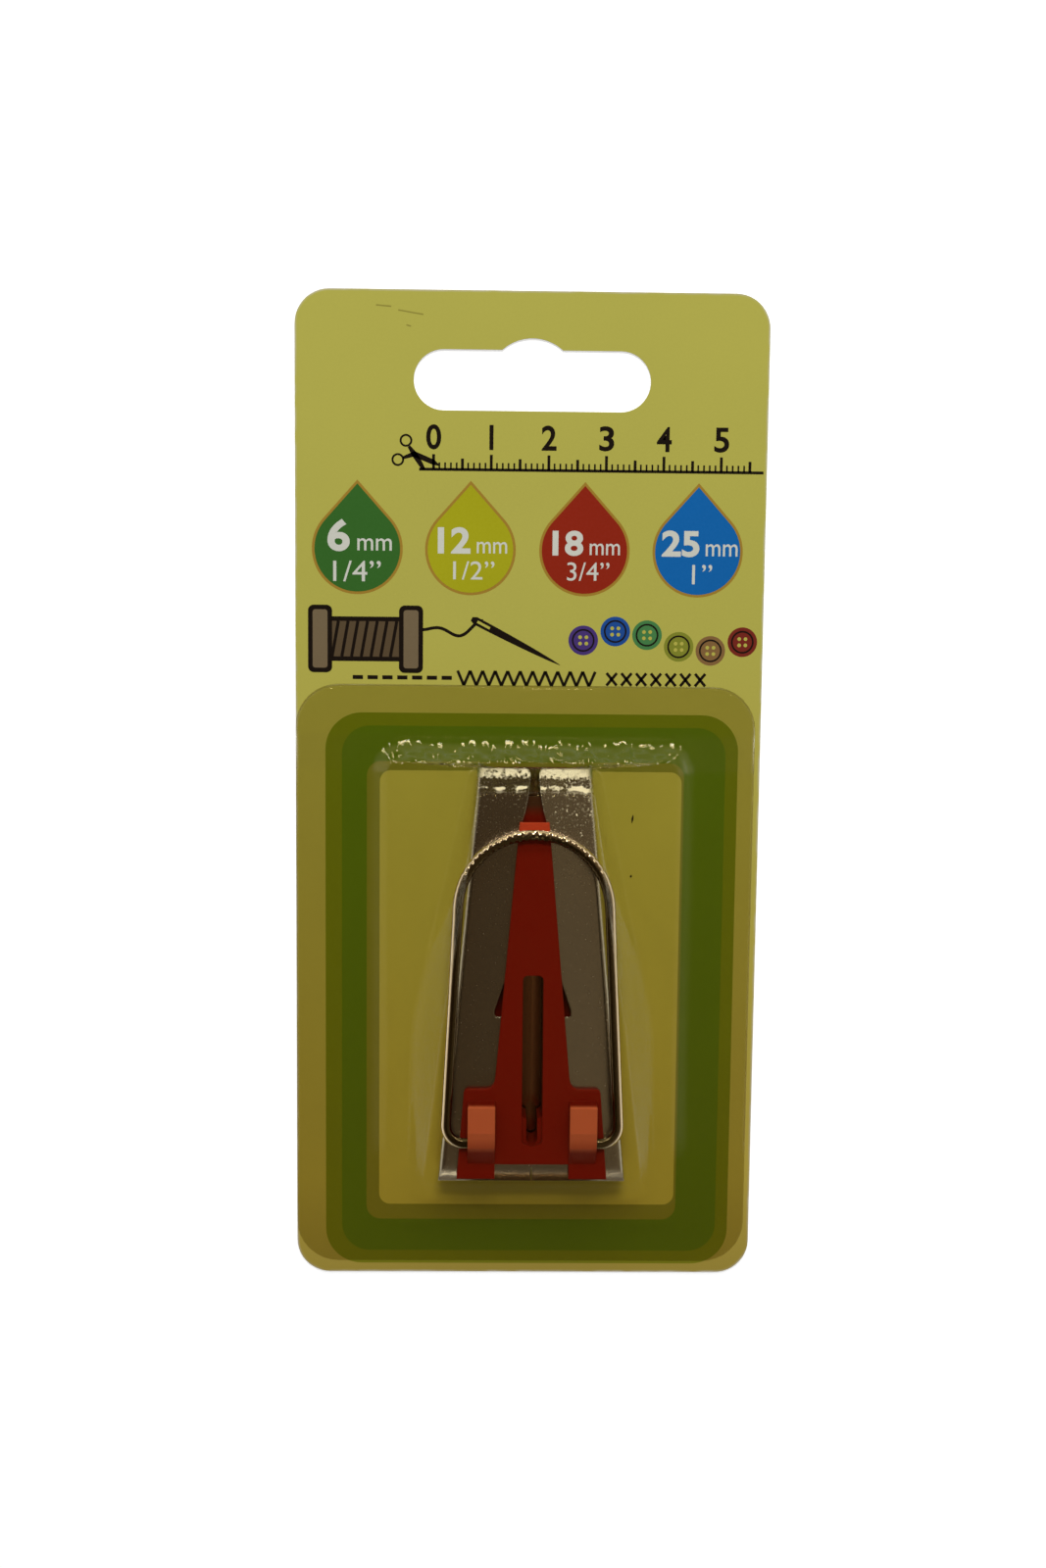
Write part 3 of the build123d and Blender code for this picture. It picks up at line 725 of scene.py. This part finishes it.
def six_sided(middle, half_widths, places, setbacks, height):
    """Level loop with half widths at its tip end, at a bend in its sides and at its mouth end."""
    right = [(middle + half, place) for half, place in zip(half_widths, places)]
    left = [(2 * middle - x, y) for x, y in reversed(right)]
    loop = rounded_loop([*right, *left], [*setbacks, *reversed(setbacks)])
    return np.column_stack([loop, np.full(len(loop), float(height))])


def folded(loops, setbacks, counts):
    """Rows from loop to loop, each inner loop softened to a quadratic curve set back along both sides."""
    rows = []
    start = loops[0]
    for before, here, after, setback, count in zip(loops, loops[1:], loops[2:], setbacks, counts):
        inward = np.linalg.norm(here - before, axis=1, keepdims=True)
        onward = np.linalg.norm(after - here, axis=1, keepdims=True)
        reach = np.minimum(setback, 0.45 * np.minimum(inward, onward))
        entry = here + (before - here) / inward * reach
        leave = here + (after - here) / onward * reach
        for share in np.linspace(0, 1, count, endpoint=False):
            rows.append(start * (1 - share) + entry * share)
        for share in np.linspace(0, 1, FOLD_STEPS, endpoint=False):
            rows.append((1 - share) ** 2 * entry + 2 * share * (1 - share) * here + share**2 * leave)
        start = leave
    for share in np.linspace(0, 1, counts[-1] + 1):
        rows.append(start * (1 - share) + loops[-1] * share)
    return np.array(rows)


flange_middle = (BLISTER_LOW[0] + BLISTER_HIGH[0]) / 2
flange_half = (BLISTER_HIGH[0] - BLISTER_LOW[0]) / 2
rim_loop = six_sided(
    flange_middle,
    half_widths=[flange_half] * 3,
    places=(BLISTER_HIGH[1], BEND_Y, BLISTER_LOW[1]),
    setbacks=(7.5, 1.0, 7.5),
    height=SHEET_FOOT - SHEET + RIM_SHEET,
)
bevel_loop = six_sided(
    flange_middle,
    half_widths=[flange_half - RIM_BEVEL] * 3,
    places=(BLISTER_HIGH[1] - RIM_BEVEL, BEND_Y, BLISTER_LOW[1] + RIM_BEVEL),
    setbacks=(7.0, 1.0, 7.0),
    height=SHEET_FOOT,
)
step_foot_loop = six_sided(
    STEP_X,
    half_widths=[29.2] * 3,
    places=(TIP_Y + 4.7, BEND_Y, MOUTH_Y - 9.9),
    setbacks=(5.0, 1.0, 5.0),
    height=SHEET_FOOT,
)
step_top_loop = six_sided(
    STEP_X,
    half_widths=[24.9] * 3,
    places=(TIP_Y + 1.1, BEND_Y, MOUTH_Y - 5.6),
    setbacks=(2.85, 1.0, 2.85),
    height=STEP_Z,
)
dome_foot_loop = six_sided(
    BODY_X,
    half_widths=(11.4, 21.5, 22.15),
    places=(TIP_Y + 0.1, DOME_BEND_Y, MOUTH_Y - 3.3),
    setbacks=(1.4, 6.0, 4.0),
    height=STEP_Z,
)
dome_top_loop = six_sided(
    BODY_X,
    half_widths=(9.8, 15.6, 19.15),
    places=(TIP_Y - 3.0, DOME_BEND_Y, MOUTH_Y + 1.1),
    setbacks=(1.4, 2.0, 2.6),
    height=DOME_Z,
)
centre_loop = dome_top_loop.copy()
centre_loop[:, 0] = BODY_X
centre_loop[:, 1] = np.clip(centre_loop[:, 1], MOUTH_Y + 10, TIP_Y - 10)
loops = [rim_loop, bevel_loop, step_foot_loop, step_top_loop, dome_foot_loop, dome_top_loop, centre_loop]
surface = folded(loops, setbacks=(0.1, 2.0, 1.4, 0.9, 1.3), counts=(1, 6, 8, 5, 12, 12))

# Waves of the sheet: each has its length, its heading in degrees, its height and its start.
SOFT_WAVES = ((17.0, 20, 0.05, 0.3), (11.3, 105, 0.04, 1.9), (7.1, 63, 0.025, 4.0))
TIP_RIPPLES = ((5.3, 4, 0.07, 0.0), (3.1, -12, 0.04, 2.2), (2.3, 9, 0.025, 1.1), (8.7, 20, 0.08, 0.7))
TIP_FACETS = ((1.9, 72, 0.05, 0.0), (2.7, 112, 0.06, 1.0), (1.5, 25, 0.028, 2.2), (6.1, 8, 0.12, 0.5))
FINE_LINES = ((0.9, 88, 0.006, 0.0), (1.4, 93, 0.006, 2.0))
MOUTH_FOLDS = ((1.9, 87, 0.02, 0.0), (2.6, 94, 0.02, 2.0), (30.0, 0, 0.04, 1.0))


def ripple(x, y, waves):
    """Sum of sine waves across a surface.

    Each wave adds its height times the sine of an angle, which is 2 pi times the way along the wave's
    heading over its length, plus its start.
    """
    total = np.zeros_like(x)
    for length, heading, height, start in waves:
        turn = math.radians(heading)
        total += height * np.sin(2 * math.pi * (x * math.cos(turn) + y * math.sin(turn)) / length + start)
    return total


def band(y, centre, width):
    """Bell across a place: e to the power of minus the square of the distance over the width."""
    return np.exp(-(((y - centre) / width) ** 2))


def rippled(rows):
    """Drawn sheet: every sum of waves, times the share that its place has of it, is added to the height.

    Soft waves lie on all that is raised, ripples and facets on the walls at the tip, fine lines beside
    the tool's tip and folds at the mouth. The ripples also shift the sheet by 0.6 of their height.
    """
    x, y, z = rows[..., 0], rows[..., 1], rows[..., 2]
    raised = np.clip((z - SHEET_FOOT) / 0.8, 0, 1)
    low = z < STEP_Z + 1
    at_tip = band(y, TIP_Y + 1.8, 2.6) * raised + 0.7 * band(y, TIP_Y - 3.0, 1.2) * (z > DOME_Z - 3)
    on_wall = (band(y, TIP_Y + 2.0, 1.5) + 0.7 * band(y, TIP_Y + 0.2, 0.5) * low) * raised
    beside = band(y, TIP_Y - 3.0, 4.0) * raised * low
    at_mouth = band(y, MOUTH_Y - 4.4, 0.9) * raised
    ripples = ripple(x, y, TIP_RIPPLES) * at_tip
    out = rows.copy()
    out[..., 2] += ripple(x, y, SOFT_WAVES) * raised + ripples + ripple(x, y, TIP_FACETS) * on_wall
    out[..., 2] += ripple(x, y, FINE_LINES) * beside + ripple(x, y, MOUTH_FOLDS) * at_mouth
    out[..., 2] = np.minimum(out[..., 2], BLISTER_HIGH[2] - 0.01)
    out[..., 1] += 0.6 * ripples
    return out


def normals_of(rows):
    """Normals of a grid of closed rows: the cross product of the steps along a row and across the rows."""
    around = np.roll(rows, -1, axis=1) - np.roll(rows, 1, axis=1)
    across = np.gradient(rows, axis=0)
    normals = np.cross(around, across)
    length = np.linalg.norm(normals, axis=2, keepdims=True)
    upright = np.array([0.0, 0.0, 1.0])
    normals = np.where(length > 1e-6, normals / np.maximum(length, 1e-6), upright)
    return normals * np.where(normals[..., 2:] < 0, -1.0, 1.0)


def shell(name, rows, walls):
    """Closed sheet: the outer grid, the same grid set inwards by each row's wall, and a rim strip."""
    inner = rows - normals_of(rows) * walls[:, None, None]
    count_rows, count = rows.shape[:2]
    row = np.arange(count_rows - 1)[:, None] * count
    step = np.arange(count)[None, :]
    following = (step + 1) % count
    quads = np.stack([row + step, row + following, row + count + following, row + count + step])
    quads = quads.reshape(4, -1).T
    below = count_rows * count
    step, following = step.ravel(), following.ravel()
    rim = np.column_stack([step, step + below, following + below, following])
    mesh = bpy.data.meshes.new(name)
    points = np.concatenate([rows.reshape(-1, 3), inner.reshape(-1, 3)]) * MM
    mesh.from_pydata(points, [], np.concatenate([quads, quads[:, ::-1] + below, rim]).tolist())
    shape = bmesh.new()
    shape.from_mesh(mesh)
    bmesh.ops.remove_doubles(shape, verts=shape.verts, dist=0.002 * MM)
    bmesh.ops.dissolve_degenerate(shape, edges=shape.edges, dist=0.001 * MM)
    bmesh.ops.recalc_face_normals(shape, faces=shape.faces)
    shape.to_mesh(mesh)
    shape.free()
    mesh.shade_smooth()
    piece = bpy.data.objects.new(name, mesh)
    bpy.context.scene.collection.objects.link(piece)
    return piece


def sheet_material():
    """Clear sheet: faintly grey-yellow glass, and a thinning film that lets rays through without a bend.

    The film takes all shadow, diffuse and mirrored rays, and the camera's rays where they leave the sheet.
    Where they enter it takes a share of them, which is lowest at the crumpled tip wall and highest beside
    the mouth, and the glass bends the rest.
    """
    material, tree, shader, place = finish("clear_sheet", 0.02)
    shader.inputs["Base Color"].default_value = SHEET_TINT
    shader.inputs["Transmission Weight"].default_value = 1.0
    shader.inputs["IOR"].default_value = 1.45
    shader.inputs["Specular Tint"].default_value = (1.0, 0.78, 0.3, 1.0)
    shader.inputs["Coat Roughness"].default_value = 0.02
    along = axes_of(tree, place)["Y"]
    above = rise(tree, along, (TIP_Y + 7.0) * MM, (TIP_Y + 5.0) * MM)
    below = rise(tree, along, (TIP_Y - 1.6) * MM, (TIP_Y - 0.4) * MM)
    at_tip = calc(tree, "MULTIPLY", above, below)
    tree.links.new(calc(tree, "MULTIPLY", at_tip, 0.3), shader.inputs["Coat Weight"])
    waves = noise(tree, place, 420.0, 2.0)
    bump = add(tree, "ShaderNodeBump", {"Strength": 0.2, "Distance": 0.03 * MM, "Height": waves})
    tree.links.new(bump.outputs[0], shader.inputs["Normal"])
    rays = add(tree, "ShaderNodeLightPath").outputs
    lighting = calc(tree, "MAXIMUM", rays["Is Shadow Ray"], rays["Is Diffuse Ray"])
    mirrored = calc(tree, "SUBTRACT", rays["Is Glossy Ray"], rays["Is Transmission Ray"], clamp=True)
    clear = spread(tree, along, (MOUTH_Y + 2) * MM, (MOUTH_Y + 6) * MM, MOUTH_CLEARNESS, CLEARNESS)
    clear = calc(tree, "MINIMUM", clear, spread(tree, at_tip, 0.0, 1.0, 1.0, RIPPLED_CLEARNESS))
    leaving = add(tree, "ShaderNodeNewGeometry").outputs["Backfacing"]
    seen = calc(tree, "MULTIPLY", rays["Is Camera Ray"], calc(tree, "MAXIMUM", clear, leaving))
    straight = calc(tree, "MAXIMUM", calc(tree, "MAXIMUM", lighting, mirrored), seen)
    thinned = [math.sqrt(value) for value in SHEET_TINT[:3]]
    film = add(tree, "ShaderNodeBsdfTransparent", {"Color": (*thinned, 1)})
    mixed = add(tree, "ShaderNodeMixShader", {0: straight, 1: shader.outputs[0], 2: film.outputs[0]})
    tree.links.new(mixed.outputs[0], tree.nodes["Material Output"].inputs["Surface"])
    return material


walls = np.full(len(surface), DRAWN_SHEET)
walls[:FLANGE_ROWS] = SHEET
walls[0] = RIM_SHEET
blister = shell("clear_blister_sheet", rippled(surface), walls)
blister.data.materials.append(sheet_material())
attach(blister, "blister")
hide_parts("clear_blister")

# Studio: a white floor, a soft room light, a high key lamp beyond the card's top, a small fill lamp below
# its foot, and six narrow lamps that sparkle on the sheet. The room is pale at the horizon and dim brown
# overhead, so that metal and sheet show it as the photo does. Its lengths are in metres.
FLOOR_HALF = 3.0
FLOOR_DROP = 0.02 * MM
ROOM_LIGHT = 0.33
SPARKS = ((-44, 27), (-24, 33), (-9, 28), (3, 34), (17, 29), (36, 31))
SPARK_DISTANCE = 0.85
HORIZON = (1, 1, 1, 1)
WALL_LEFT = (0.95, 0.93, 0.9, 1)
WALL_RIGHT = (0.85, 0.83, 0.8, 1)
WALL_BEYOND_TOP = (0.95, 0.84, 0.56, 1)
WALL_BELOW_FOOT = (0.1, 0.08, 0.05, 1)
CEILING_LEFT = (0.08, 0.052, 0.03, 1)
CEILING_RIGHT = (0.21, 0.165, 0.115, 1)
CAMERA_PLACE = Vector((-8.4, 44.3, 347.3)) * MM
CAMERA_TURN = Vector((-6.94, -1.20, 0.53))
SENSOR = 36
CAMERA_FOCUS = 2014 / 1600 * SENSOR


def floor_material():
    """White floor that also glows a little, so that it reads as white and still keeps a shadow."""
    material, _, shader, _ = finish("white_floor", 0.9)
    shader.inputs["Base Color"].default_value = (0.8, 0.8, 0.8, 1)
    shader.inputs["Emission Color"].default_value = (1, 1, 1, 1)
    shader.inputs["Emission Strength"].default_value = 0.42
    shader.inputs["Specular IOR Level"].default_value = 0.0
    return material


corners = [(x * FLOOR_HALF, y * FLOOR_HALF, -FLOOR_DROP) for x, y in ((-1, -1), (1, -1), (1, 1), (-1, 1))]
floor_mesh = bpy.data.meshes.new("floor")
floor_mesh.from_pydata(corners, [], [(0, 1, 2, 3)])
floor_mesh.materials.append(floor_material())
floor = bpy.data.objects.new("floor", floor_mesh)
bpy.context.scene.collection.objects.link(floor)


def softbox(name, place, width, height, power, mirrored=True):
    """Rectangular lamp aimed at the object's middle, with its power in watts."""
    data = bpy.data.lights.new(name, "AREA")
    data.shape = "RECTANGLE"
    data.size = width
    data.size_y = height
    data.energy = power
    lamp = bpy.data.objects.new(name, data)
    aim = Vector((-value for value in place)).to_track_quat("-Z", "Y")
    lamp.matrix_world = Matrix.Translation(Vector(place)) @ aim.to_matrix().to_4x4()
    lamp.visible_glossy = mirrored
    bpy.context.scene.collection.objects.link(lamp)


softbox("key", (0.0, 0.45, 0.72), 0.24, 0.16, 3.4, mirrored=False)
softbox("fill", (0.0, -0.55, 0.65), 0.05, 0.05, 0.12)
for number, (heading, climb) in enumerate(SPARKS):
    turn, lift = math.radians(heading), math.radians(climb)
    level = SPARK_DISTANCE * math.cos(lift)
    place = (level * math.sin(turn), level * math.cos(turn), SPARK_DISTANCE * math.sin(lift))
    softbox(f"spark_{number}", place, 0.035, 0.2, 0.42)


def studio_world():
    """Even light for the object; what is seen, straight, mirrored or through the sheet, is the room."""
    world = bpy.data.worlds.new("studio")
    world.use_nodes = True
    tree = world.node_tree
    axes = axes_of(tree, add(tree, "ShaderNodeTexCoord").outputs["Generated"])
    rays = add(tree, "ShaderNodeLightPath").outputs
    ceiling = blend_colour(tree, rise(tree, axes["X"], -0.12, 0.16), CEILING_LEFT, CEILING_RIGHT)
    around = blend_colour(tree, rise(tree, axes["X"], -0.8, 0.8), WALL_LEFT, WALL_RIGHT)
    around = blend_colour(tree, rise(tree, axes["Y"], 0.2, 0.9), around, WALL_BEYOND_TOP)
    around = blend_colour(tree, rise(tree, axes["Y"], -0.3, -0.9), around, WALL_BELOW_FOOT)
    room = blend_colour(tree, rise(tree, axes["Z"], 0.25, 0.5), around, ceiling)
    room = blend_colour(tree, rise(tree, axes["Z"], 0.07, 0.13), HORIZON, room)
    seen = calc(tree, "MAXIMUM", rays["Is Camera Ray"], rays["Is Glossy Ray"])
    seen = calc(tree, "MAXIMUM", seen, rays["Is Transmission Ray"])
    light = blend_colour(tree, seen, (ROOM_LIGHT, ROOM_LIGHT, ROOM_LIGHT, 1), room)
    tree.links.new(light, tree.nodes["Background"].inputs["Color"])
    return world


scene = bpy.context.scene
scene.world = studio_world()
scene.view_settings.view_transform = "Standard"
lens = bpy.data.cameras.new("camera")
lens.lens = CAMERA_FOCUS
lens.sensor_width = SENSOR
lens.clip_start = 0.01
camera = bpy.data.objects.new("camera", lens)
camera_turn = Matrix.Rotation(math.radians(CAMERA_TURN.length), 4, CAMERA_TURN.normalized())
camera.matrix_world = Matrix.Translation(CAMERA_PLACE) @ camera_turn
scene.collection.objects.link(camera)
scene.camera = camera
